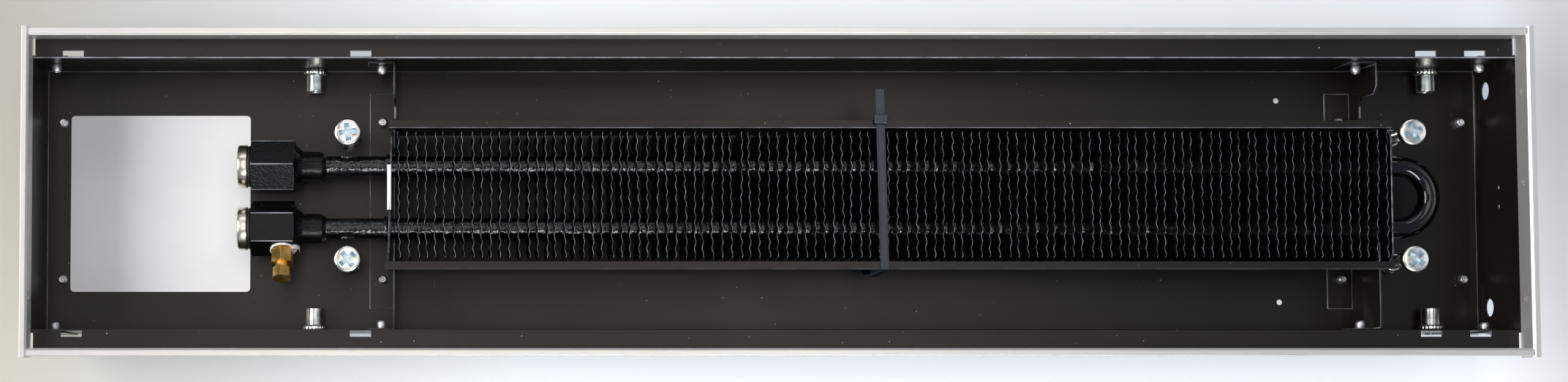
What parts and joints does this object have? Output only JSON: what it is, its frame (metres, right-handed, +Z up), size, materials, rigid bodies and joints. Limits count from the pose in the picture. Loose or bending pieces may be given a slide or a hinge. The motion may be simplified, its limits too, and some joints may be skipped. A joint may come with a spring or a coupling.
{
  "type": "trench convector heater",
  "caption": "Floor-recessed trench convector without its grille: sheet-metal trough, light frame, fin-and-tube coil, capped pipe connections, air vent and levelling bolts.",
  "frame": {"origin": "middle of the underside, on the surface the trough stands on", "axes": "+X along the trough from the pipe connections to the return bend, +Y to the rear, +Z up"},
  "size_m": [0.9, 0.197, 0.075],
  "materials": {
    "powder_coat": "fine-textured matt black powder coat",
    "coil_enamel": "glossy black enamel",
    "anodised_rail": "natural anodised, satin",
    "zinc_plate": "bright zinc plate",
    "nickel_plate": "nickel plate",
    "vent_brass": "turned brass",
    "seal_rubber": "matt",
    "sealing_tape": "white sealing tape",
    "tie_nylon": "satin black nylon",
    "label_paper": "plain white film label"
  },
  "bodies": {
    "housing": {"trough": "powder_coat", "end_plate_left": "powder_coat", "end_plate_right": "powder_coat", "frame_rail_front": "anodised_rail", "frame_rail_rear": "anodised_rail", "frame_rail_left": "anodised_rail", "frame_rail_right": "anodised_rail", "support_bracket_left": "powder_coat", "support_bracket_right": "powder_coat", "fin_pack": "coil_enamel", "coil_end_plate_left": "coil_enamel", "coil_end_plate_right": "coil_enamel", "coil_side_plate_front": "coil_enamel", "coil_side_plate_rear": "coil_enamel", "hairpin_tube": "coil_enamel", "fitting_front": "coil_enamel", "fitting_rear": "coil_enamel", "vent_body": "vent_brass", "vent_tape": "sealing_tape", "cable_tie": "tie_nylon", "floor_rivet_nuts": "zinc_plate", "wall_rivet_nuts": "zinc_plate", "floor_rivets": "zinc_plate", "wall_rivets": "zinc_plate", "floor_label": "label_paper"},
    "bolt_left_front": {"levelling_bolt_left_front": "zinc_plate"},
    "bolt_left_rear": {"levelling_bolt_left_rear": "zinc_plate"},
    "bolt_right_front": {"levelling_bolt_right_front": "zinc_plate"},
    "bolt_right_rear": {"levelling_bolt_right_rear": "zinc_plate"},
    "plug_front": {"plug_front": "nickel_plate", "seal_front": "seal_rubber"},
    "plug_rear": {"plug_rear": "nickel_plate", "seal_rear": "seal_rubber"},
    "vent_cap": {"vent_cap": "vent_brass"}
  },
  "joints": [
    {"name": "level_left_front", "type": "slide", "parent": "housing", "child": "bolt_left_front", "axis": [0, 0, 1], "range_m": [-0.028, 0.006]},
    {"name": "level_left_rear", "type": "slide", "parent": "housing", "child": "bolt_left_rear", "axis": [0, 0, 1], "range_m": [-0.028, 0.006]},
    {"name": "level_right_front", "type": "slide", "parent": "housing", "child": "bolt_right_front", "axis": [0, 0, 1], "range_m": [-0.028, 0.006]},
    {"name": "level_right_rear", "type": "slide", "parent": "housing", "child": "bolt_right_rear", "axis": [0, 0, 1], "range_m": [-0.028, 0.006]},
    {"name": "unplug_front", "type": "slide", "parent": "housing", "child": "plug_front", "axis": [-1, 0, 0], "range_m": [0, 0.014]},
    {"name": "unplug_rear", "type": "slide", "parent": "housing", "child": "plug_rear", "axis": [-1, 0, 0], "range_m": [0, 0.014]},
    {"name": "bleed", "type": "hinge", "parent": "housing", "child": "vent_cap", "pos_m": [-0.2966, -0.03204, 0.0365], "axis": [0, -0.866, 0.5], "range_deg": [0, 360]}
  ]
}
